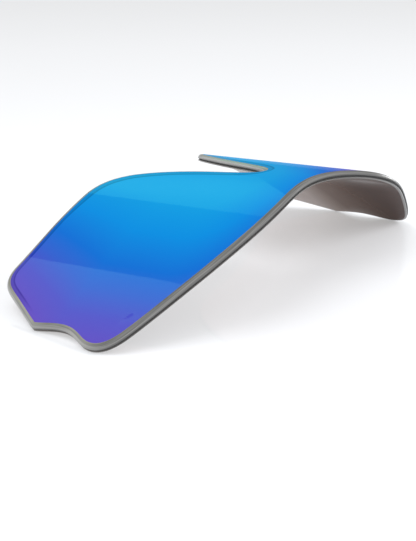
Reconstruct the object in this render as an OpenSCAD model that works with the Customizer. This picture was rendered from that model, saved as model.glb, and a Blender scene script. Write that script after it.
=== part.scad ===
// Double lens for ski goggles: a thick mirror-coated outer pane and a thin tinted inner pane,
// bonded round the rim by a foam gasket. It is bent about one axis only and rests on its two ends.
// X runs across the face, the brow edge faces -Y, the convex front faces +Z and the floor is z = 0.

/* [Front curve] */
// Bend radius of the front face over the middle of the lens
front_r = 123; // [115:1:140]
// How far the front radius runs from the centre, measured along the surface
front_reach = 63; // [55:1:70]
// Bend radius of the two flatter ends
end_r = 630; // [400:10:900]

/* [Thickness] */
// Outer pane, moulded polycarbonate
outer_t = 1.6; // [1.4:0.1:3]
// Each layer of adhesive tape
tape_t = 0.1; // [0.05:0.05:0.2]
// Foam gasket, which sets the air gap
gasket_t = 0.4; // [0.4:0.1:2]
// Inner pane, cellulose propionate
inner_t = 0.6; // [0.6:0.1:1.2]

/* [Rim] */
// How far the rounded rim stands out past the coated front face
rim_out = 1.8; // [1.2:0.1:2]
// Small edge break on the back of the outer pane
edge_break = 0.15; // [0.1:0.05:0.2]
// How far the gasket sits back from the rim
gasket_back = 0.4; // [0.2:0.1:0.8]
// Width of the gasket round the lens
gasket_w = 3.8; // [3:0.1:4]

/* [Breather] */
// Hole through the inner pane
vent_d = 2; // [1:0.5:3]
// Membrane patch over the hole
patch_d = 8; // [6:0.5:9]
// Membrane thickness
membrane_t = 0.2; // [0.1:0.05:0.3]
// Distance of the hole from the cut-out for the nose
vent_gap = 10.2; // [9:0.1:11]

/* [Hidden] */
$fn = 64;

// Depth of each layer below the front face
tape_top = outer_t;
gasket_top = tape_top + tape_t;
gasket_end = gasket_top + gasket_t;
inner_top = gasket_end + tape_t;
total_t = inner_top + inner_t;

// Rim profiles: how far in from the coated face's edge, and how deep. The outer pane's rim rolls over
// like a quarter of an ellipse, and the inner pane carries the curve on to the back.
roll_steps = 4;
widest = outer_t - edge_break;
outer_profile = concat([for (i = [0:roll_steps]) let (a = 90 * i / roll_steps)
                            [-rim_out * sin(a), widest * (1 - cos(a))]],
                       [[edge_break - rim_out, outer_t]]);
inner_profile = [[0.3 - rim_out, inner_top], [0.1 - rim_out, inner_top + 0.15],
                 [0.15 - rim_out, inner_top + 0.35], [0.5 - rim_out, inner_top + 0.5],
                 [1 - rim_out, total_t]];

// Flat pattern of the coated face, right half: u runs along the bend, v towards the brow.
// Each list is a chain of cubic curves: a start point, then three points for each curve.
nose_top = 13.6;
brow_mid = 34;
side_u = 90;
brow_curve = [[0, brow_mid], [14, brow_mid], [24, 38.5], [38, 38.5],
              [50, 38.5], [60, 35.5], [70, 31.8],
              [80, 28.1], [90, 24.2], [96, 21.2]];
tip_curve = [[96, 21.2], [100.8, 18.8], [103, 16], [103, 12.4],
             [103, 7.5], [98.8, 4.5], [98.8, -2.5],
             [98.8, -7], [99.9, -10], [100.4, -14.3],
             [97.3, -19.9], [94.1, -25.4], [91, -31]];
cheek_corner = [[91, -31], [88.5, -35.6], [86.3, -38.5], [81, -38.5]];
cheek_curve = [[81, -38.5], [67, -37.3], [53, -37.3], [39, -38.5],
               [30, -39], [25, -35.5], [21, -30.7],
               [14.8, -22], [11.2, -11.5], [8.6, -1],
               [6.2, 9], [4, nose_top], [0, nose_top]];
steps_each = 8;
corner_steps = 10;
tip_steps = 4;

// One cubic curve, and a chain of them without its first point
function cubic(p, t) = pow(1 - t, 3) * p[0] + 3 * t * pow(1 - t, 2) * p[1]
                     + 3 * t * t * (1 - t) * p[2] + pow(t, 3) * p[3];
function piece(chain, k) = [for (i = [0:3]) chain[3 * k + i]];
function pieces(chain) = (len(chain) - 1) / 3;
function sweep(chain, steps) =
    [for (k = [0:pieces(chain) - 1], i = [1:steps]) cubic(piece(chain, k), i / steps)];

// Brow height above a place along the bend, found by halving the curve that spans it
function halve(p, u, lo, hi, n) = let (mid = (lo + hi) / 2)
    n == 0 ? cubic(p, mid)[1] : cubic(p, mid)[0] < u ? halve(p, u, mid, hi, n - 1)
                                                     : halve(p, u, lo, mid, n - 1);
function brow_piece(u) = u < brow_curve[3][0] ? 0 : u < brow_curve[6][0] ? 1 : 2;
function brow_at(u) = halve(piece(brow_curve, brow_piece(u)), u, 0, 1, 24);

// Right half of the pattern, from the middle of the brow, round the end, to the nose cut-out
corner_pts = [for (p = sweep(cheek_corner, corner_steps)) if (p[0] < side_u - 0.6) p];
cheek_pts = concat(corner_pts, sweep(cheek_curve, steps_each));
columns = len(cheek_pts);
brow_pts = [for (i = [columns - 1:-1:0])
    [cheek_pts[i][0], i == columns - 1 ? brow_mid : brow_at(cheek_pts[i][0])]];
tip_pts = concat([[93, brow_at(93)]], sweep(tip_curve, tip_steps));
half = concat(brow_pts, tip_pts, cheek_pts);
m = len(half);
pattern = concat(half, [for (i = [m - 2:-1:1]) [-half[i][0], half[i][1]]]);
count = len(pattern);

// The pattern moved in by a distance, or out by a negative one, with mitred corners
function unit(a) = a / norm(a);
function edge_normal(a, b) = unit([b[1] - a[1], a[0] - b[0]]);
function inset(d) = [for (i = [0:count - 1])
    let (n1 = edge_normal(pattern[(i + count - 1) % count], pattern[i]),
         n2 = edge_normal(pattern[i], pattern[(i + 1) % count]))
    pattern[i] + d * (n1 + n2) / (1 + n1 * n2)];

// Bend of the front face: its turn, its place across the face and its height below the middle
front_turn = front_reach / front_r * 180 / PI;
function turn(u) = let (a = abs(u))
    sign(u) * (a < front_reach ? a / front_r : front_reach / front_r + (a - front_reach) / end_r)
    * 180 / PI;
function across(u) = let (t = abs(turn(u)))
    sign(u) * (abs(u) < front_reach ? front_r * sin(t)
                                    : front_r * sin(front_turn) + end_r * (sin(t) - sin(front_turn)));
function drop(u) = let (t = abs(turn(u)))
    abs(u) < front_reach ? front_r * (cos(t) - 1)
                         : front_r * (cos(front_turn) - 1) + end_r * (cos(t) - cos(front_turn));
function bent(p, depth) = [across(p[0]) - depth * sin(turn(p[0])), -p[1],
                           drop(p[0]) - depth * cos(turn(p[0]))];

// Resting pose: the lens leans until a brow tip and a cheek corner touch the floor at each end
rim = [for (l = concat(outer_profile, inner_profile)) for (p = inset(l[0])) bent(p, l[1])];
tip_z = min([for (p = rim) if (p[1] < 0) p[2]]);
corner_z = min([for (p = rim) if (p[1] > 8) p[2]]);
tip_y = [for (p = rim) if (p[2] == tip_z) p[1]][0];
corner_y = [for (p = rim) if (p[2] == corner_z) p[1]][0];
lean = atan((corner_z - tip_z) / (corner_y - tip_y));
function leaned(p) = [p[0], p[1] * cos(lean) + p[2] * sin(lean), p[2] * cos(lean) - p[1] * sin(lean)];
shell = [for (p = rim) leaned(p)];
y_mid = (min([for (p = shell) p[1]]) + max([for (p = shell) p[1]])) / 2;
floor_z = min([for (p = shell) p[2]]);
function placed(p) = leaned(p) - [0, y_mid, floor_z];

// A closed loop of the rim, at an inset from the coated face's edge and a depth below it
function loop(d, depth) = [for (p = inset(d)) placed(bent(p, depth))];

// Faces: a band between loops a and b, and a cap that fills one loop strip by strip
function band(a, b) = [for (i = [0:count - 1]) let (j = (i + 1) % count)
    each [[a * count + i, a * count + j, b * count + j],
          [a * count + i, b * count + j, b * count + i]]];
function flip(faces) = [for (f = faces) [f[2], f[1], f[0]]];
function cap_half(k) = [
    for (i = [0:columns - 2])
        each [[k + i, k + m - 1 - i, k + m - 2 - i], [k + i, k + m - 2 - i, k + i + 1]],
    for (i = [columns:m - columns - 1]) [k + columns - 1, k + i + 1, k + i]];
function other_side(i, k) = k + (count - (i - k)) % count;
function cap(a) = let (k = a * count, right = cap_half(k))
    concat(right, [for (f = right) [other_side(f[2], k), other_side(f[1], k), other_side(f[0], k)]]);

// A pane: loops listed from the front face down to the back face
module pane(loops) {
    last = len(loops) - 1;
    polyhedron(points = [for (l = loops) each loop(l[0], l[1])],
               faces = concat(flip(cap(0)), cap(last),
                              [for (a = [0:last - 1]) each flip(band(a, a + 1))]));
}

// A ring of tape or foam between two depths and two distances from the rim
module ring(top, bottom) {
    out = gasket_back - rim_out;
    loops = [[out, top], [out, bottom], [out + gasket_w, bottom], [out + gasket_w, top]];
    polyhedron(points = [for (l = loops) each loop(l[0], l[1])],
               faces = [for (a = [0:3]) each flip(band(a, (a + 1) % 4))]);
}

// A place on the bend's axis plane, in the resting pose
module at_middle(v) {
    translate([0, -y_mid, -floor_z])
        rotate([-lean, 0, 0])
            translate([0, -v, 0])
                children();
}

// A round patch that follows the bend, between two depths at the middle of the lens
module patch(top, bottom, d) {
    at_middle(nose_top + vent_gap)
        intersection() {
            translate([0, 0, -front_r])
                rotate([90, 0, 0])
                    difference() {
                        cylinder(h = 2 * d, r = front_r - top, center = true, $fn = 360);
                        cylinder(h = 3 * d, r = front_r - bottom, center = true, $fn = 360);
                    }
            translate([0, 0, -2 * total_t])
                cylinder(h = 3 * total_t, d = d);
        }
}

module vent_bore() {
    at_middle(nose_top + vent_gap)
        translate([0, 0, -2 * total_t])
            cylinder(h = 3 * total_t, d = vent_d);
}

// Thick outer pane, with a rounded rim outside its coated face
module outer_lens() {
    color("dodgerblue")
        pane(outer_profile);
}

// Tape between the outer pane and the gasket
module outer_tape() {
    color("whitesmoke") ring(tape_top, gasket_top);
}

// Foam ring that holds the panes apart
module spacer_gasket() {
    color("dimgray") ring(gasket_top, gasket_end);
}

// Tape between the gasket and the inner pane
module inner_tape() {
    color("whitesmoke") ring(gasket_end, inner_top);
}

// Thin inner pane, with its breather hole
module inner_lens() {
    color("saddlebrown")
        difference() {
            pane(inner_profile);
            vent_bore();
        }
}

// Tape ring that holds the membrane over the breather hole
module vent_tape() {
    color("whitesmoke")
        difference() {
            patch(inner_top - tape_t, inner_top, patch_d);
            at_middle(nose_top + vent_gap)
                translate([0, 0, -2 * total_t])
                    cylinder(h = 3 * total_t, d = patch_d / 2);
        }
}

// Membrane that lets the air gap breathe and keeps water out
module vent_membrane() {
    color("white") patch(inner_top - tape_t - membrane_t, inner_top - tape_t, patch_d);
}

outer_lens();
outer_tape();
spacer_gasket();
inner_tape();
inner_lens();
vent_tape();
vent_membrane();
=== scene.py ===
# %% [markdown]
# # A double lens for ski goggles
# The object is a lens unit on its own: a thick polycarbonate pane with a blue mirror coating, a thin
# brown pane behind it, and a foam gasket between the two, all bent about one axis. It stands on its
# two ends. The CAD model comes first as a fixed frame. Each piece here is a finer model of one of its
# nodes, made from the same sizes, so it lies where that node lies.

# %% Load the frame
import math

import bmesh
import bpy
from mathutils import Matrix, Vector


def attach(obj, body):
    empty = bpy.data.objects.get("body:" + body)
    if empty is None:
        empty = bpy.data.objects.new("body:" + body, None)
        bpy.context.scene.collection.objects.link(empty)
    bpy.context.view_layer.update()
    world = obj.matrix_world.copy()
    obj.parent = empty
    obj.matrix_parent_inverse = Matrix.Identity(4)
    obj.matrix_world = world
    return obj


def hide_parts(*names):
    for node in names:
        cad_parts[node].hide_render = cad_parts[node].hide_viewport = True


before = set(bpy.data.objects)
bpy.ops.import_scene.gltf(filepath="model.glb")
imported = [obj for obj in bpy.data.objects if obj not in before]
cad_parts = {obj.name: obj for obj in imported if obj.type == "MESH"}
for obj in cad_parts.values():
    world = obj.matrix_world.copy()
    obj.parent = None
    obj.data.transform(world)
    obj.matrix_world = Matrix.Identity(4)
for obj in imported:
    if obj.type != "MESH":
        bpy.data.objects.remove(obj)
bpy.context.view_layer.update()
MM = 0.001
print("CAD nodes:", sorted(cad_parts))

# %% [markdown]
# ## Two small helpers for materials
# Colours are written as the hex codes that a paint chart or a screen shows. Blender's shaders work in
# linear light, so one function turns a code to linear. A second one adds a node, sets its inputs and
# links it, which keeps each material short enough to read as a recipe.

# %% Helpers for colours and nodes
def linear(code):
    channels = [int(code[i:i + 2], 16) / 255 for i in (1, 3, 5)]
    return [c / 12.92 if c <= 0.04045 else ((c + 0.055) / 1.055) ** 2.4 for c in channels] + [1]


def add(tree, kind, inputs=(), **settings):
    node = tree.nodes.new(kind)
    for name, value in settings.items():
        setattr(node, name, value)
    for key, value in dict(inputs).items():
        if isinstance(value, bpy.types.NodeSocket):
            tree.links.new(value, node.inputs[key])
        else:
            node.inputs[key].default_value = value
    return node


def material(name):
    made = bpy.data.materials.new(name)
    made.use_nodes = True
    made.node_tree.nodes.clear()
    return made, made.node_tree


def ramp(tree, factor, stops):
    node = add(tree, "ShaderNodeValToRGB", {"Fac": factor})
    band = node.color_ramp
    while len(band.elements) < len(stops):
        band.elements.new(0.5)
    for element, (place, code) in zip(band.elements, stops):
        element.position = place
        element.color = linear(code)
    return node.outputs["Color"]

# %% [markdown]
# ## The flat pattern
# The lens bends about one axis only, so it unrolls without stretching, and its outline is drawn flat: u
# runs along the bend and v towards the brow, in millimetres. A mesh sculpted in the round could follow
# the same edge, but cubic curves on the flat need far fewer points for the rounded tips, the soft hollow
# in each end and the deep cut-out for the nose. Only the right half is drawn, from brow to nose.

# %% Cubic curves of the right half
NOSE_TOP = 13.6
BROW_MID = 34
BROW = [(0, BROW_MID), (14, BROW_MID), (24, 38.5), (38, 38.5),
        (50, 38.5), (60, 35.5), (70, 31.8),
        (80, 28.1), (90, 24.2), (96, 21.2)]
TIP = [(96, 21.2), (100.8, 18.8), (103, 16), (103, 12.4),
       (103, 7.5), (98.8, 4.5), (98.8, -2.5),
       (98.8, -7), (99.9, -10), (100.4, -14.3),
       (97.3, -19.9), (94.1, -25.4), (91, -31)]
CHEEK = [(91, -31), (88.5, -35.6), (86.3, -38.5), (81, -38.5),
         (67, -37.3), (53, -37.3), (39, -38.5),
         (30, -39), (25, -35.5), (21, -30.7),
         (14.8, -22), (11.2, -11.5), (8.6, -1),
         (6.2, 9), (4, NOSE_TOP), (0, NOSE_TOP)]
BISECTIONS = 30


def cubic(p, t):
    weights = ((1 - t) ** 3, 3 * t * (1 - t) ** 2, 3 * t * t * (1 - t), t ** 3)
    return Vector([sum(w * q[axis] for w, q in zip(weights, p)) for axis in (0, 1)])


def sweep(chain, steps):
    points = []
    for k in range(0, len(chain) - 1, 3):
        points += [cubic(chain[k:k + 4], i / steps) for i in range(1, steps + 1)]
    return points


def brow_at(u):
    start = next(k for k in (0, 3, 6) if u <= BROW[k + 3][0])
    low, high = 0.0, 1.0
    for _ in range(BISECTIONS):
        mid = (low + high) / 2
        low, high = (mid, high) if cubic(BROW[start:start + 4], mid)[0] < u else (low, mid)
    return cubic(BROW[start:start + 4], low)[1]

# %% [markdown]
# ## Matching points on brow and cheek
# The two long edges get the same number of points, one above the other, so that each pair can later be
# joined by a straight strip. The points are spaced along the cheek, which is the busier edge, and the
# brow curve is then solved for its height over each of them by halving an interval.

# %% The closed outline, column by column
CHEEK_STEPS = 22
TIP_STEPS = 14
COLUMNS_END = 89.7
BROW_BEYOND = (91.5, 93, 94.5)

cheek = [p for p in sweep(CHEEK, CHEEK_STEPS) if p[0] < COLUMNS_END]
brow = [Vector((p[0], brow_at(p[0]))) for p in reversed(cheek)]
tip = [Vector((u, brow_at(u))) for u in BROW_BEYOND] + sweep(TIP, TIP_STEPS)
half = brow + tip + cheek
columns = len(cheek)
half_count = len(half)
pattern = half + [Vector((-p[0], p[1])) for p in half[-2:0:-1]]
count = len(pattern)
print("columns in each half:", columns, "points round the rim:", count)

# %% [markdown]
# ## Insets that don't fold over
# The coated face, the rim and the gasket are all the same outline moved in or out. Moving each point
# square to the edge folds the line over at a sharp corner, so the directions are averaged along the rim
# first. Small moves average over a fraction of a millimetre, which keeps the corners crisp, and larger
# ones over a few millimetres.

# %% Inset directions
def edge_direction(a, b):
    step = b - a
    return Vector((step[1], -step[0])).normalized()


def rim_directions(reach):
    sharp = [(edge_direction(pattern[i - 1], pattern[i])
              + edge_direction(pattern[i], pattern[(i + 1) % count])).normalized()
             for i in range(count)]
    smooth = []
    for i in range(count):
        total = sharp[i].copy()
        for way in (1, -1):
            k, gone = i, 0.0
            while True:
                gone += (pattern[(k + way) % count] - pattern[k % count]).length
                if gone > reach:
                    break
                k += way
                total += sharp[k % count] * (1 - gone / reach)
        smooth.append(total.normalized())
    return smooth


tight = rim_directions(0.6)
wide = rim_directions(4.5)
SMALL_MOVE = 1


def inset(distance):
    ways = wide if distance > SMALL_MOVE else tight
    return [p + distance * d for p, d in zip(pattern, ways)]


print("shortest step round the rim in mm:",
      round(min((pattern[i] - pattern[i - 1]).length for i in range(count)), 2))

# %% [markdown]
# ## Bending with Geometry Nodes
# Each piece starts as a flat blank. A node tree bends it the way a sheet bends over a former: the middle
# takes one radius and the two ends a much larger one, and each point keeps its depth below the front
# face. A Simple Deform modifier bends to one radius only, and a sculpted mesh has no radius to change.
# Set Position does it with both radii as named inputs.

# %% The bend tree
FRONT_R = 123
FRONT_REACH = 63
END_R = 630
END_TURN = FRONT_REACH / FRONT_R


def maths(tree, operation, a, b=0.0):
    return add(tree, "ShaderNodeMath", {0: a, 1: b}, operation=operation).outputs[0]


def bend_tree():
    tree = bpy.data.node_groups.new("bend_over_former", "GeometryNodeTree")
    face = tree.interface
    face.new_socket("Blank", in_out="INPUT", socket_type="NodeSocketGeometry")
    for name in ("Front radius", "Front reach", "End radius"):
        face.new_socket(name, in_out="INPUT", socket_type="NodeSocketFloat")
    face.new_socket("Finish", in_out="INPUT", socket_type="NodeSocketMaterial")
    face.new_socket("Lens", in_out="OUTPUT", socket_type="NodeSocketGeometry")
    given = add(tree, "NodeGroupInput").outputs
    here = add(tree, "ShaderNodeSeparateXYZ",
               {0: add(tree, "GeometryNodeInputPosition").outputs[0]}).outputs
    along = maths(tree, "ABSOLUTE", here[0])
    inner = maths(tree, "MINIMUM", along, given[2])
    outer = maths(tree, "SUBTRACT", along, inner)
    turn_in = maths(tree, "DIVIDE", inner, given[1])
    turn = maths(tree, "ADD", turn_in, maths(tree, "DIVIDE", outer, given[3]))

    def arc(function):
        first = maths(tree, "MULTIPLY", given[1], maths(tree, function, turn_in))
        change = maths(tree, "SUBTRACT", maths(tree, function, turn),
                       maths(tree, function, turn_in))
        return maths(tree, "ADD", first, maths(tree, "MULTIPLY", given[3], change))

    reach = maths(tree, "ADD", arc("SINE"),
                  maths(tree, "MULTIPLY", here[2], maths(tree, "SINE", turn)))
    height = maths(tree, "ADD", maths(tree, "SUBTRACT", arc("COSINE"), given[1]),
                   maths(tree, "MULTIPLY", here[2], maths(tree, "COSINE", turn)))
    side = maths(tree, "SIGN", here[0])
    place = add(tree, "ShaderNodeCombineXYZ",
                {0: maths(tree, "MULTIPLY", reach, side), 1: here[1], 2: height}).outputs[0]
    moved = add(tree, "GeometryNodeSetPosition", {"Geometry": given[0], "Position": place})
    whole = add(tree, "GeometryNodeRealizeInstances", {0: moved.outputs[0]})
    dressed = add(tree, "GeometryNodeSetMaterial", {0: whole.outputs[0], "Material": given[4]})
    add(tree, "NodeGroupOutput", {0: dressed.outputs[0]})
    return tree


BEND = bend_tree()


def bend(blank, finish):
    step = blank.modifiers.new("bend", "NODES")
    step.node_group = BEND
    given = {"Front radius": FRONT_R * MM, "Front reach": FRONT_REACH * MM,
             "End radius": END_R * MM, "Finish": finish}
    for item in BEND.interface.items_tree:
        if item.name in given:
            step[item.identifier] = given[item.name]
    shaped = blank.evaluated_get(bpy.context.evaluated_depsgraph_get())
    mesh = bpy.data.meshes.new_from_object(shaped)
    blank.modifiers.remove(step)
    blank.data = mesh
    return blank

# %% [markdown]
# ## How the lens stands
# The lens rests on a brow tip and a cheek corner at each end, which tips it a few degrees about X. The
# profiles below say how the rims of both panes are rounded, in millimetres, as pairs of how far in from
# the outline and how deep below the front. The lean, the floor and the middle follow from the bent rims, so
# that the lens stands on its own lowest points, as the CAD model does.

# %% Layers and rim profiles
OUTER_T = 1.6
TAPE_T = 0.1
GASKET_T = 0.4
INNER_T = 0.6
GASKET_TOP = OUTER_T + TAPE_T
GASKET_END = GASKET_TOP + GASKET_T
INNER_TOP = GASKET_END + TAPE_T
TOTAL_T = INNER_TOP + INNER_T
RIM_OUT = 1.8
EDGE_BREAK = 0.15
ROLL_STEPS = 10


def rolled(step):
    angle = math.pi / 2 * step / ROLL_STEPS
    return (-RIM_OUT * math.sin(angle), (OUTER_T - EDGE_BREAK) * (1 - math.cos(angle)))


outer_rim = [rolled(i) for i in range(ROLL_STEPS + 1)]
outer_rim += [(0.06 - RIM_OUT, OUTER_T - 0.04), (EDGE_BREAK - RIM_OUT, OUTER_T)]
inner_rim = [(out - RIM_OUT, INNER_TOP + down) for out, down in
             ((0.3, 0), (0.17, 0.05), (0.1, 0.15), (0.1, 0.25), (0.15, 0.35), (0.29, 0.44),
              (0.5, 0.5), (0.75, 0.55), (1, INNER_T))]

# %% The resting pose
def bent_point(u, v, depth):
    a = abs(u)
    turn = a / FRONT_R if a < FRONT_REACH else END_TURN + (a - FRONT_REACH) / END_R
    first = min(turn, END_TURN)
    x = FRONT_R * math.sin(first) + END_R * (math.sin(turn) - math.sin(first))
    z = FRONT_R * (math.cos(first) - 1) + END_R * (math.cos(turn) - math.cos(first))
    return Vector((math.copysign(x - depth * math.sin(turn), u), -v, z - depth * math.cos(turn)))


rim = [bent_point(p[0], p[1], depth) for d, depth in outer_rim + inner_rim for p in inset(d)]
CHEEK_FROM = 8
tip_low = min((p for p in rim if p.y < 0), key=lambda p: p.z)
corner_low = min((p for p in rim if p.y > CHEEK_FROM), key=lambda p: p.z)
lean = math.atan((corner_low.z - tip_low.z) / (corner_low.y - tip_low.y))
turned = Matrix.Rotation(-lean, 4, "X")
shell = [turned @ p for p in rim]
floor_z = min(p.z for p in shell)
y_mid = (min(p.y for p in shell) + max(p.y for p in shell)) / 2
STAND = Matrix.Translation(Vector((0, -y_mid, -floor_z)) * MM) @ turned
print("lean in degrees:", round(math.degrees(lean), 3))
print("rim thickness in mm:", round(TOTAL_T, 2))

# %% [markdown]
# ## From outline to solid
# A pane is a stack of rim loops from front to back, closed by a cap on each side. The caps are strips
# that run straight from brow to cheek, because a sheet bent about one axis is straight that way. A ring,
# such as the gasket, is the same stack closed on itself, with no caps. Each point also remembers its
# place on the flat blank, its distance in from the outline, and whether the nearest rim faces the brow or
# the cheek, so that a finish can follow the bent sheet.

# %% Faces of a pane and of a ring
def cap_faces(base):
    right = []
    for i in range(columns - 1):
        right.append((base + i, base + i + 1, base + half_count - 2 - i, base + half_count - 1 - i))
    hub = base + columns - 1
    right += [(hub, base + i, base + i + 1) for i in range(columns, half_count - columns)]

    def other(index):
        return base + (count - (index - base)) % count

    return right + [tuple(other(k) for k in reversed(f)) for f in right]


def band_faces(a, b):
    return [(a * count + i, b * count + i, b * count + (i + 1) % count, a * count + (i + 1) % count)
            for i in range(count)]

# %% Facts that each point keeps
SHARP = math.radians(38)


def remember(mesh, name, kind, values):
    layer = mesh.attributes.new(name, kind, "POINT")
    layer.data.foreach_set("vector" if kind == "FLOAT_VECTOR" else "value", values)


def finish_mesh(piece, finishes, kinds):
    mesh = piece.data
    mesh.transform(STAND)
    for finish in finishes[1:]:
        mesh.materials.append(finish)
    mesh.polygons.foreach_set("material_index", kinds)
    mesh.polygons.foreach_set("use_smooth", [True] * len(mesh.polygons))
    mesh.set_sharp_from_angle(angle=SHARP)
    mesh.update()
    print(piece.name, "has", sum(len(f.vertices) - 2 for f in mesh.polygons), "triangles")
    return piece


def slab(name, loops, groups, finishes, closed=False):
    flat = [(p[0], p[1], depth) for d, depth in loops for p in inset(d)]
    faces, kinds = [], []
    for a in range(len(loops) - 1 + closed):
        made = band_faces(a, (a + 1) % len(loops))
        faces += made
        kinds += [groups[a]] * len(made)
    if not closed:
        front = cap_faces(0)
        back = [tuple(reversed(f)) for f in cap_faces((len(loops) - 1) * count)]
        faces += front + back
        kinds += [groups[0]] * len(front) + [groups[-1]] * len(back)
    mesh = bpy.data.meshes.new(name)
    mesh.from_pydata([(u * MM, -v * MM, -depth * MM) for u, v, depth in flat], [], faces)
    remember(mesh, "flat", "FLOAT_VECTOR", [x for p in flat for x in p])
    remember(mesh, "inset", "FLOAT", [d for d, depth in loops for p in pattern])
    remember(mesh, "away", "FLOAT", [w[1] for d, depth in loops for w in wide])
    piece = bpy.data.objects.new(name, mesh)
    bpy.context.scene.collection.objects.link(piece)
    return finish_mesh(bend(piece, finishes[0]), finishes, kinds)

# %% [markdown]
# ## Where the coating changes colour
# Ski lenses get a thin stack of metal oxides in a vacuum chamber, under a clear hard coat. The stack
# reflects one colour strongly: cyan in the heart of this lens, blue further out and violet at the ends,
# where the layers are thinner. So the colour is a ramp over a distance on the flat blank, and not over the
# angle of view, which the export would lose. The two halves differ a little: the left one changes evenly
# from the middle, and the right one later and faster, with a slanted front towards the brow. The right
# half's steeper slant and its later, faster change are painted reflection colour: they stand in for the
# coating's shift in colour where it is seen at a grazing angle.

# %% Millimetres from the cyan heart
# Painted reflection colour: the right half's start, pace and slant stand in for the coating's grazing-angle
# colour shift.
RIGHT_START = 45.0
RIGHT_PACE = 1.9
BROW_PACE = 1.95
LEFT_SLANT = 0.5
RIGHT_SLANT = 1.3
SLANT_END = 58.5
HEART = 3.0
CHEEK_START = -5.0
CHEEK_PACE = 0.006


def fact(tree, name):
    return add(tree, "ShaderNodeAttribute", attribute_name=name).outputs["Fac"]


def blank_place(tree):
    flat = add(tree, "ShaderNodeAttribute", attribute_name="flat").outputs["Vector"]
    return add(tree, "ShaderNodeSeparateXYZ", {0: flat}).outputs


def from_heart(tree, u, v):
    leftward = maths(tree, "MULTIPLY", u, -1.0)
    rightward = maths(tree, "MULTIPLY", maths(tree, "SUBTRACT", u, RIGHT_START), RIGHT_PACE)
    outward = maths(tree, "MAXIMUM", maths(tree, "MAXIMUM", leftward, rightward), 0.0)
    slant = maths(tree, "MAXIMUM", maths(tree, "MULTIPLY", u, LEFT_SLANT),
                  maths(tree, "MULTIPLY", u, RIGHT_SLANT))
    slant = maths(tree, "MINIMUM", slant, SLANT_END)
    browward = maths(tree, "ADD", maths(tree, "MULTIPLY", v, BROW_PACE), slant)
    browward = maths(tree, "MAXIMUM", maths(tree, "SUBTRACT", browward, HEART), 0.0)
    squares = maths(tree, "ADD", maths(tree, "MULTIPLY", outward, outward),
                    maths(tree, "MULTIPLY", browward, browward))
    low = maths(tree, "MAXIMUM", maths(tree, "SUBTRACT", CHEEK_START, v), 0.0)
    cheekward = maths(tree, "MULTIPLY", low, maths(tree, "MULTIPLY", outward, CHEEK_PACE))
    return maths(tree, "ADD", maths(tree, "SQRT", squares), cheekward)

# %% [markdown]
# ## The gasket's shadow painted on the coating
# Along the cheek edge the shadow of the gasket behind the pane is painted into the coating as a deeper
# blue band. This is painted shade and shows on the cheek side only. It is about 2 mm wide at the sides
# and 4 mm wide beside the nose, and its darkest line lies near its inner border.
# The band is a curve over the distance from the outline, so it costs no geometry and can't come loose
# from the edge, as a separate strip could.

# %% Depth of the painted gasket shade
BAND_W = 2.0
BAND_EXTRA = 2.2
BAND_SHAPE = [(0, 0.55), (0.55, 0.55), (0.66, 0.95), (0.78, 0.9), (0.94, 0), (1, 0)]


def band_width(tree, from_middle):
    lobe = add(tree, "ShaderNodeMapRange", {"Value": from_middle, "From Min": 55.0, "From Max": 28.0,
                                            "To Max": BAND_EXTRA}).outputs[0]
    off_top = add(tree, "ShaderNodeMapRange", {"Value": from_middle, "From Min": 2.0,
                                               "From Max": 10.0}).outputs[0]
    return maths(tree, "ADD", maths(tree, "MULTIPLY", lobe, off_top), BAND_W)


# Painted shade: darkens the coating near the cheek edge, where the gasket's shadow shows through the pane.
def painted_gasket_shade(tree, u):
    from_middle = maths(tree, "ABSOLUTE", u)
    across = maths(tree, "DIVIDE", fact(tree, "inset"), band_width(tree, from_middle))
    band = add(tree, "ShaderNodeFloatCurve", {"Value": maths(tree, "MINIMUM", across, 1.0)})
    points = band.mapping.curves[0].points
    points[0].location = BAND_SHAPE[0]
    points[1].location = BAND_SHAPE[-1]
    for place, depth in BAND_SHAPE[1:-1]:
        points.new(place, depth)
    band.mapping.update()
    cheek_side = add(tree, "ShaderNodeMapRange",
                     {"Value": fact(tree, "away"), "From Min": -0.1, "From Max": 0.15},
                     interpolation_type="SMOOTHSTEP").outputs[0]
    before_end = add(tree, "ShaderNodeMapRange",
                     {"Value": from_middle, "From Min": 98.0, "From Max": 90.0},
                     interpolation_type="SMOOTHSTEP").outputs[0]
    return maths(tree, "MULTIPLY", band.outputs[0], maths(tree, "MULTIPLY", cheek_side, before_end))

# %% [markdown]
# ## The mirror coating
# A metallic base is the usual way to a mirror, but it turns white where it is seen along the surface,
# and this coating stays blue there. So the base is a plain colour with no reflection of its own, and the
# shader's clear coat, which stands for the hard coat, adds a thin sharp reflection of the studio.

# %% Mirror-coated polycarbonate
VIOLET_AT = 110
COATING = [(0, "#0F96CE"), (0.33, "#0B8ECA"), (0.5, "#067FC9"), (0.65, "#1064BF"),
           (0.75, "#3057B9"), (0.85, "#4843B1"), (0.97, "#5838AA")]


def mirror_coated_polycarbonate():
    made, tree = material("mirror-coated polycarbonate")
    here = blank_place(tree)
    colour = ramp(tree, maths(tree, "DIVIDE", from_heart(tree, here[0], here[1]), VIOLET_AT), COATING)
    deep = add(tree, "ShaderNodeHueSaturation",
               {"Saturation": 1.1, "Value": 0.6, "Color": colour}).outputs[0]
    # The painted gasket shade darkens the coating colour here.
    shade = add(tree, "ShaderNodeMix", {"Factor": painted_gasket_shade(tree, here[0]), 6: colour, 7: deep},
                data_type="RGBA")
    skin = add(tree, "ShaderNodeBsdfPrincipled",
               {"Base Color": shade.outputs[2], "Metallic": 0.0, "Roughness": 0.35,
                "Specular IOR Level": 0.0, "Coat Weight": 0.15, "Coat Roughness": 0.02,
                "Coat IOR": 1.5})
    add(tree, "ShaderNodeOutputMaterial", {"Surface": skin.outputs[0]})
    return made
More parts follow.
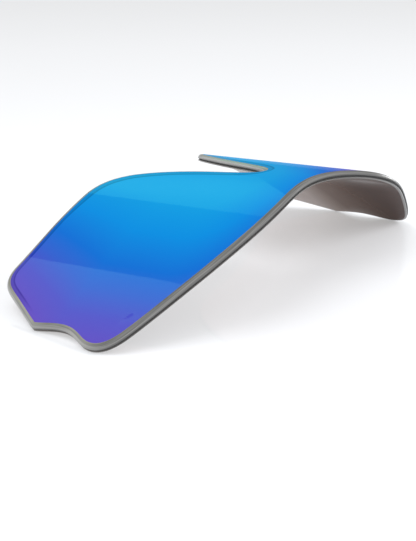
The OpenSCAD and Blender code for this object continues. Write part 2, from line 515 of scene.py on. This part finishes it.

# %% [markdown]
# ## The polished rim
# The rim has no coating: it is clear polycarbonate, routed to its outline and polished round, and it looks
# grey with fine lines along the cut. The lines vary with depth and hardly along the rim, so the noise is
# stretched that way. A ramp over the depth makes the rim warmer beside the coating and dark at its
# foot, where the gap starts; that dark foot is painted shade. The rim that faces the cheek is painted
# paler than the rim that faces the brow, as painted light.

# %% Routed and polished plastic
TOOL_LINES_PER_MM = 5
ALONG_RIM_PER_MM = 0.05
DARK_LINE = 0.68
PALE_LINE = 1.22
BROW_PAINTED_SHADE = 0.95
CHEEK_PAINTED_LIGHT = 1.5


def tool_lines(tree):
    here = blank_place(tree)
    place = add(tree, "ShaderNodeCombineXYZ",
                {0: maths(tree, "MULTIPLY", here[0], ALONG_RIM_PER_MM),
                 1: maths(tree, "MULTIPLY", here[1], ALONG_RIM_PER_MM),
                 2: maths(tree, "MULTIPLY", here[2], TOOL_LINES_PER_MM)}).outputs[0]
    return add(tree, "ShaderNodeTexNoise", {"Vector": place, "Scale": 1.0, "Detail": 2.0}).outputs[0]


def polished_edge(name, depth_from, depth_to, stops, roughness, gloss):
    made, tree = material(name)
    depth = blank_place(tree)[2]
    across = add(tree, "ShaderNodeMapRange",
                 {"Value": depth, "From Min": depth_from, "From Max": depth_to}).outputs[0]
    lines = tool_lines(tree)
    streak = add(tree, "ShaderNodeMapRange",
                 {"Value": lines, "From Min": 0.35, "From Max": 0.65, "To Min": DARK_LINE,
                  "To Max": PALE_LINE}).outputs[0]
    # Painted light and shade: walls facing the cheek are made paler, walls facing the brow a little darker.
    painted_side_light = add(tree, "ShaderNodeMapRange",
               {"Value": fact(tree, "away"), "From Min": -0.6, "From Max": 0.25,
                "To Min": BROW_PAINTED_SHADE, "To Max": CHEEK_PAINTED_LIGHT}).outputs[0]
    colour = add(tree, "ShaderNodeHueSaturation",
                 {"Value": maths(tree, "MULTIPLY", streak, painted_side_light),
                  "Color": ramp(tree, across, stops)}).outputs[0]
    bumps = add(tree, "ShaderNodeBump", {"Height": lines, "Strength": 0.15, "Distance": 0.02 * MM})
    skin = add(tree, "ShaderNodeBsdfPrincipled",
               {"Base Color": colour, "Roughness": roughness, "Specular IOR Level": gloss,
                "Normal": bumps.outputs[0]})
    add(tree, "ShaderNodeOutputMaterial", {"Surface": skin.outputs[0]})
    return made

# %% [markdown]
# ## The tinted inner pane
# The inner pane is cellulose propionate, which takes an anti-fog dip well. Its brown is painted pale at
# the cheek and dark at the brow: painted light, as if the open cheek side let more light under the lens.
# The sheet is really clear, but the mirror coating in front of it stops most of the light, so it is drawn
# opaque, which is also quicker than glass and cleaner to export. The dip leaves a smooth skin with a very
# slight orange peel and little reflection.

# %% Tinted cellulose propionate
# Painted light: the brown runs from pale at the cheek to dark at the brow.
PAINTED_LIGHT_V = -18.0
PAINTED_SHADE_V = 20.0
BROWN_WITH_PAINTED_LIGHT = [(0, "#B4A8A4"), (0.12, "#A2958F"), (0.35, "#75635B"), (0.68, "#533B31"), (0.85, "#42291F"),
        (1, "#39211A")]
PEEL_PER_M = 120.0


def tinted_propionate():
    made, tree = material("tinted cellulose propionate")
    browward = add(tree, "ShaderNodeMapRange", {"Value": blank_place(tree)[1], "From Min": PAINTED_LIGHT_V,
                                                "From Max": PAINTED_SHADE_V}).outputs[0]
    dip = add(tree, "ShaderNodeTexNoise",
              {"Vector": add(tree, "ShaderNodeTexCoord").outputs["Object"], "Scale": PEEL_PER_M})
    peel = add(tree, "ShaderNodeBump", {"Height": dip.outputs[0], "Strength": 0.04,
                                        "Distance": 0.05 * MM})
    skin = add(tree, "ShaderNodeBsdfPrincipled",
               {"Base Color": ramp(tree, browward, BROWN_WITH_PAINTED_LIGHT), "Roughness": 0.12,
                "Specular IOR Level": 0.03, "Normal": peel.outputs[0]})
    add(tree, "ShaderNodeOutputMaterial", {"Surface": skin.outputs[0]})
    return made

# %% [markdown]
# ## Foam, tape and membrane
# A closed-cell polyethylene foam gasket keeps the panes apart, and an acrylic tape holds it to each pane.
# A porous PTFE patch covers the pressure hole. All three are matt and finely grained, so one recipe of
# Voronoi cells serves them, with the cell size in millimetres. The tape's grain and the membrane's pores
# are much finer in life, and are drawn coarser so that they show.

# %% A recipe for matt, grained surfaces
def grained(name, dark, pale, grain_mm, roughness, bump):
    made, tree = material(name)
    place = add(tree, "ShaderNodeTexCoord").outputs["Object"]
    cells = add(tree, "ShaderNodeTexVoronoi", {"Vector": place, "Scale": 1 / (grain_mm * MM)})
    colour = ramp(tree, cells.outputs["Distance"], [(0.1, dark), (0.7, pale)])
    pits = add(tree, "ShaderNodeBump", {"Height": cells.outputs["Distance"], "Strength": bump,
                                        "Distance": 0.3 * grain_mm * MM})
    skin = add(tree, "ShaderNodeBsdfPrincipled",
               {"Base Color": colour, "Roughness": roughness, "Normal": pits.outputs[0]})
    add(tree, "ShaderNodeOutputMaterial", {"Surface": skin.outputs[0]})
    return made


# %% The seven finishes
# The dark last stops of both grey ramps are painted shade at the foot of each edge.
RIM_GREYS_WITH_PAINTED_SHADE = [(0, "#756C59"), (0.02, "#6A675E"), (0.06, "#6C6C6A"), (0.25, "#7E7E7C"),
             (0.5, "#888887"), (0.8, "#767675"), (0.97, "#303030")]
EDGE_GREYS_WITH_PAINTED_SHADE = [(0, "#7E7C7A"), (0.6, "#6C6A68"), (1, "#3E3C3B")]

mirror = mirror_coated_polycarbonate()
edge = polished_edge("polished polycarbonate rim", 0.0, OUTER_T, RIM_GREYS_WITH_PAINTED_SHADE, 0.32, 0.15)
tint = tinted_propionate()
tint_edge = polished_edge("polished propionate edge", INNER_TOP, TOTAL_T, EDGE_GREYS_WITH_PAINTED_SHADE, 0.2, 1.0)
foam = grained("closed-cell polyethylene foam", "#3A3A3B", "#565657", 0.25, 0.9, 0.5)
tape = grained("acrylic foam tape", "#5A5A59", "#7C7C7A", 0.12, 0.5, 0.2)
ptfe = grained("porous PTFE membrane", "#D6D6D2", "#F4F4F2", 0.15, 0.7, 0.3)
print("finishes:", [m.name for m in bpy.data.materials])

# %% [markdown]
# ## The thick outer pane
# The front pane carries the coating and the shape. Its stack of loops starts 4.5 mm in from the outline,
# further than the painted gasket shade reaches, so that the shade's distances are right. It runs out to the
# rim, rolls over it and ends on the back face. A Bevel modifier would round a straight wall too, but the
# loops give a roll that is as deep as the pane and keep their distances for the finishes.

# %% Outer pane
FACE_START = 4.5
CAP_IN = 0.3
outer_loops = [(FACE_START, 0), (CAP_IN, 0)] + outer_rim + [(CAP_IN, OUTER_T)]
outer_groups = [0, 0] + [1] * (len(outer_rim) + 1)
outer_pane = slab("outer_pane", outer_loops, outer_groups, [mirror, edge])
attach(outer_pane, "root")
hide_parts("outer_lens")

# %% [markdown]
# ## The gasket and its tapes
# The gasket is die-cut from foam sheet with tape on both faces. It sits a little inside the rim, which
# leaves the dark line round the edge of a double lens. Its two cut faces are slightly hollow. A curve
# with a bevel could sweep such a strip, but the ring of loops follows the same outline as the panes.

# %% Gasket and tapes
GASKET_W = 3.8
GASKET_OUT = 0.4 - RIM_OUT
CORNER = 0.02


def strip(name, top, bottom, hollow, finish, node):
    middle = (top + bottom) / 2
    near, far = GASKET_OUT, GASKET_OUT + GASKET_W
    loops = [(near + CORNER, top), (near + hollow, middle), (near + CORNER, bottom),
             (far - CORNER, bottom), (far - hollow, middle), (far - CORNER, top)]
    piece = slab(name, loops, [0] * len(loops), [finish], closed=True)
    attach(piece, "root")
    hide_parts(node)
    return piece


strip("outer_tape_strip", OUTER_T, GASKET_TOP, 0.05, tape, "outer_tape")
strip("foam_gasket", GASKET_TOP, GASKET_END, 0.15, foam, "spacer_gasket")
strip("inner_tape_strip", GASKET_END, INNER_TOP, 0.05, tape, "inner_tape")

# %% [markdown]
# ## The thin inner pane
# The inner pane is the same outline in a thin sheet with rounded edges. One small hole near the brow lets
# the air between the panes breathe. It could be drawn into the cap's strips, but those run straight from
# brow to cheek and have no ring of points there, so a Boolean with a short pin cuts it instead.

# %% Inner pane with its pressure hole
BACK_START = 3.9
HOLE_R = 1.0
VENT_V = NOSE_TOP + 10.2
inner_loops = [(CAP_IN, INNER_TOP)] + inner_rim + [(CAP_IN, TOTAL_T), (BACK_START, TOTAL_T)]
inner_groups = [0] + [1] * (len(inner_rim) - 1) + [0, 0, 0]
inner_pane = slab("inner_pane", inner_loops, inner_groups, [tint, tint_edge])

ROUND = 48
PIN_LENGTH = 8


def bored(pane, centre_v, radius):
    pin_mesh = bpy.data.meshes.new("pin")
    drill = bmesh.new()
    bmesh.ops.create_cone(drill, cap_ends=True, segments=ROUND, radius1=radius * MM,
                          radius2=radius * MM, depth=PIN_LENGTH * MM)
    drill.transform(STAND @ Matrix.Translation(Vector((0, -centre_v, 0)) * MM))
    drill.to_mesh(pin_mesh)
    drill.free()
    pin = bpy.data.objects.new("pin", pin_mesh)
    bpy.context.scene.collection.objects.link(pin)
    cut = pane.modifiers.new("pressure_hole", "BOOLEAN")
    cut.operation = "DIFFERENCE"
    cut.solver = "EXACT"
    cut.object = pin
    shaped = pane.evaluated_get(bpy.context.evaluated_depsgraph_get())
    mesh = bpy.data.meshes.new_from_object(shaped)
    pane.modifiers.remove(cut)
    pane.data = mesh
    bpy.data.objects.remove(pin)
    print("pressure hole across in mm:", 2 * radius)


bored(inner_pane, VENT_V, HOLE_R)
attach(inner_pane, "root")
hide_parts("inner_lens")

# %% [markdown]
# ## The breather patch
# A disc of porous membrane on a ring of tape covers the pressure hole, on the side between the panes. A
# cylinder would stay flat there and cut into the bent pane, so both are drawn flat as rings of points and
# bent by the same tree.

# %% Membrane disc and its tape ring
PATCH_R = 4.0
MEMBRANE_T = 0.2
TAPE_RADII = (2, 2.5, 3, 3.5, PATCH_R)
DISC_RADII = (0.4, 1.2, 2, 3, PATCH_R)


def disc(name, radii, open_middle, top, bottom, finish, node):
    rings = [(r, top) for r in radii] + [(r, bottom) for r in reversed(radii)]
    flat = [(r * math.cos(2 * math.pi * i / ROUND), VENT_V + r * math.sin(2 * math.pi * i / ROUND), z)
            for r, z in rings for i in range(ROUND)]
    faces = []
    for a in range(len(rings) - 1 + open_middle):
        b = (a + 1) % len(rings)
        faces += [(a * ROUND + i, b * ROUND + i, b * ROUND + (i + 1) % ROUND,
                   a * ROUND + (i + 1) % ROUND) for i in range(ROUND)]
    if not open_middle:
        last = (len(rings) - 1) * ROUND
        faces += [tuple(reversed(range(ROUND))), tuple(last + i for i in range(ROUND))]
    mesh = bpy.data.meshes.new(name)
    mesh.from_pydata([(u * MM, -v * MM, -depth * MM) for u, v, depth in flat], [], faces)
    piece = bpy.data.objects.new(name, mesh)
    bpy.context.scene.collection.objects.link(piece)
    finish_mesh(bend(piece, finish), [finish], [0] * len(faces))
    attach(piece, "root")
    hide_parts(node)
    return piece


patch_top = INNER_TOP - TAPE_T
disc("vent_tape_ring", TAPE_RADII, True, patch_top, INNER_TOP, tape, "vent_tape")
disc("vent_membrane_disc", DISC_RADII, False, patch_top - MEMBRANE_T, patch_top, ptfe,
     "vent_membrane")

# %% [markdown]
# ## The floor
# The lens stands on a pale sheet of acrylic, lit a little from below, as on a product table. The sheet is
# glossy, so it mirrors the lens faintly, and its own glow keeps the shadows light. One large sheet does
# for a floor here, because a curved sweep behind it would only show as a softer horizon.

# %% Floor
def pale_acrylic():
    made, tree = material("pale acrylic sheet")
    skin = add(tree, "ShaderNodeBsdfPrincipled",
               {"Base Color": linear("#C6C8CC"), "Roughness": 0.03, "Specular IOR Level": 0.9,
                "Emission Color": linear("#FFFFFF"), "Emission Strength": 0.37})
    add(tree, "ShaderNodeOutputMaterial", {"Surface": skin.outputs[0]})
    return made


def plane(name, corner, across, up, finish):
    corner, across, up = Vector(corner), Vector(across), Vector(up)
    mesh = bpy.data.meshes.new(name)
    mesh.from_pydata([corner, corner + across, corner + across + up, corner + up], [], [(0, 1, 2, 3)])
    mesh.materials.append(finish)
    sheet = bpy.data.objects.new(name, mesh)
    bpy.context.scene.collection.objects.link(sheet)
    return sheet


FLOOR_HALF = 6
floor = plane("floor", (-FLOOR_HALF, -FLOOR_HALF, 0), (2 * FLOOR_HALF, 0, 0), (0, 2 * FLOOR_HALF, 0),
              pale_acrylic())

# %% [markdown]
# ## Cards for the coating
# A glossy face shows the shape of whatever stands round it. Two softbox cards hang over the lens, and the
# edges of their reflections draw the two soft steps across the near half. They could light everything,
# but they would tint the floor and the brown pane, so light linking gives them to the outer pane only,
# and they are hidden from every ray but a mirrored one. Each card fades from its brightest place. Their
# cloth is tinted, so that the reflection shifts the blue of the coating's plain base and doesn't grey it.

# %% Cards seen only in reflections
scene = bpy.context.scene


def glow(name, code, middle, fade, bright, dim):
    made, tree = material(name)
    here = add(tree, "ShaderNodeTexCoord").outputs["Object"]
    offset = add(tree, "ShaderNodeVectorMath", {0: here, 1: middle}, operation="SUBTRACT").outputs[0]
    gone = add(tree, "ShaderNodeVectorMath", {0: offset}, operation="LENGTH").outputs["Value"]
    strength = add(tree, "ShaderNodeMapRange", {"Value": gone, "From Max": fade, "To Min": bright,
                                                "To Max": dim}).outputs[0]
    light = add(tree, "ShaderNodeEmission", {"Color": linear(code), "Strength": strength})
    clear = add(tree, "ShaderNodeBsdfTransparent")
    both = add(tree, "ShaderNodeAddShader", {0: light.outputs[0], 1: clear.outputs[0]})
    add(tree, "ShaderNodeOutputMaterial", {"Surface": both.outputs[0]})
    return made


def only_in_reflections(sheet):
    sheet.visible_camera = False
    sheet.visible_diffuse = False
    sheet.visible_shadow = False
    sheet.visible_transmission = False
    sheet.visible_volume_scatter = False


def card(name, outline, height, finish):
    mesh = bpy.data.meshes.new(name)
    mesh.from_pydata([(x, y, height) for x, y in outline], [], [tuple(range(len(outline)))])
    mesh.materials.append(finish)
    sheet = bpy.data.objects.new(name, mesh)
    scene.collection.objects.link(sheet)
    only_in_reflections(sheet)
    sheet.light_linking.receiver_collection = lit_by_cards
    return sheet


lit_by_cards = bpy.data.collections.new("lit_by_cards")
lit_by_cards.objects.link(outer_pane)
CARD_Z = 0.4
card("far_card", [(0.257, 0.242), (0.95, 0.725), (0.95, 1.0), (0.257, 0.7)], CARD_Z,
     glow("green softbox cloth", "#6EFFC8", (0.35, 0.5, CARD_Z), 0.45, 3.6, 0.7))
card("near_card", [(-0.017, 0.2), (-0.017, 0.65), (-0.3, 0.65), (-0.3, 0.2)], CARD_Z,
     glow("pale cyan softbox cloth", "#B8FFF8", (0.0, 0.4, CARD_Z), 0.3, 4.6, 3.0))

# %% [markdown]
# ## The white room and its lamps
# An even white world lights the lens from all sides, and a large softbox gives the light a direction. A
# mirrored ray sees the world at under a third of its strength, because a full white world would wash out
# the coating. One lamp lights only the floor and lifts it towards white, and one narrow strip puts a
# highlight on the outer pane's far rim.

# %% White world and softboxes
MIRRORED_ROOM = 0.3
scene.view_settings.view_transform = "Standard"
room = bpy.data.worlds.new("white_room")
room.use_nodes = True
room.node_tree.nodes["Background"].inputs["Color"].default_value = linear("#FFFFFF")
mirrored = add(room.node_tree, "ShaderNodeLightPath").outputs["Is Glossy Ray"]
dimmed = add(room.node_tree, "ShaderNodeMapRange",
             {"Value": mirrored, "To Min": 1.0, "To Max": MIRRORED_ROOM})
room.node_tree.links.new(dimmed.outputs[0], room.node_tree.nodes["Background"].inputs["Strength"])
scene.world = room


def softbox(name, place, aim, size, power):
    lamp = bpy.data.lights.new(name, "AREA")
    lamp.shape = "RECTANGLE"
    lamp.size, lamp.size_y = size
    lamp.energy = power
    box = bpy.data.objects.new(name, lamp)
    box.location = place
    box.rotation_mode = "QUATERNION"
    box.rotation_quaternion = (Vector(aim) - Vector(place)).to_track_quat("-Z", "Y")
    scene.collection.objects.link(box)
    return box


softbox("top_softbox", (-0.5, 0.2, 1.2), (0, 0, 0), (0.8, 0.8), 6)
floor_only = bpy.data.collections.new("floor_only")
floor_only.objects.link(floor)
sweep_light = softbox("sweep_light", (0.55, -0.75, 0.45), (0.03, -0.02, 0), (0.5, 0.5), 8)
sweep_light.light_linking.receiver_collection = floor_only
sweep_light.visible_glossy = False
rim_strip = softbox("rim_strip", (1.0, -0.05, 0.1), (0.07, -0.03, 0.02), (0.5, 0.1), 2)
rim_strip.light_linking.receiver_collection = lit_by_cards
rim_strip.visible_diffuse = False

# %% [markdown]
# ## The camera
# The camera looks down past one end of the lens, so the near end fills the frame and the far end curls
# under. It stands close, less than half a metre away, and that is what makes the near end look so large.
# It is turned by a heading from +X and a pitch below level, which are easier to adjust than Euler angles.

# %% Camera
eye = bpy.data.cameras.new("camera")
eye.sensor_width = 36
eye.lens = 80.14
eye.clip_start = 0.01
camera = bpy.data.objects.new("camera", eye)
scene.collection.objects.link(camera)
camera.location = Vector((-347, -253.9, 140.5)) * MM
heading, pitch = math.radians(37.57), math.radians(18.21)
forward = Vector((math.cos(heading) * math.cos(pitch), math.sin(heading) * math.cos(pitch),
                  -math.sin(pitch)))
camera.rotation_mode = "QUATERNION"
camera.rotation_quaternion = forward.to_track_quat("-Z", "Y")
scene.camera = camera
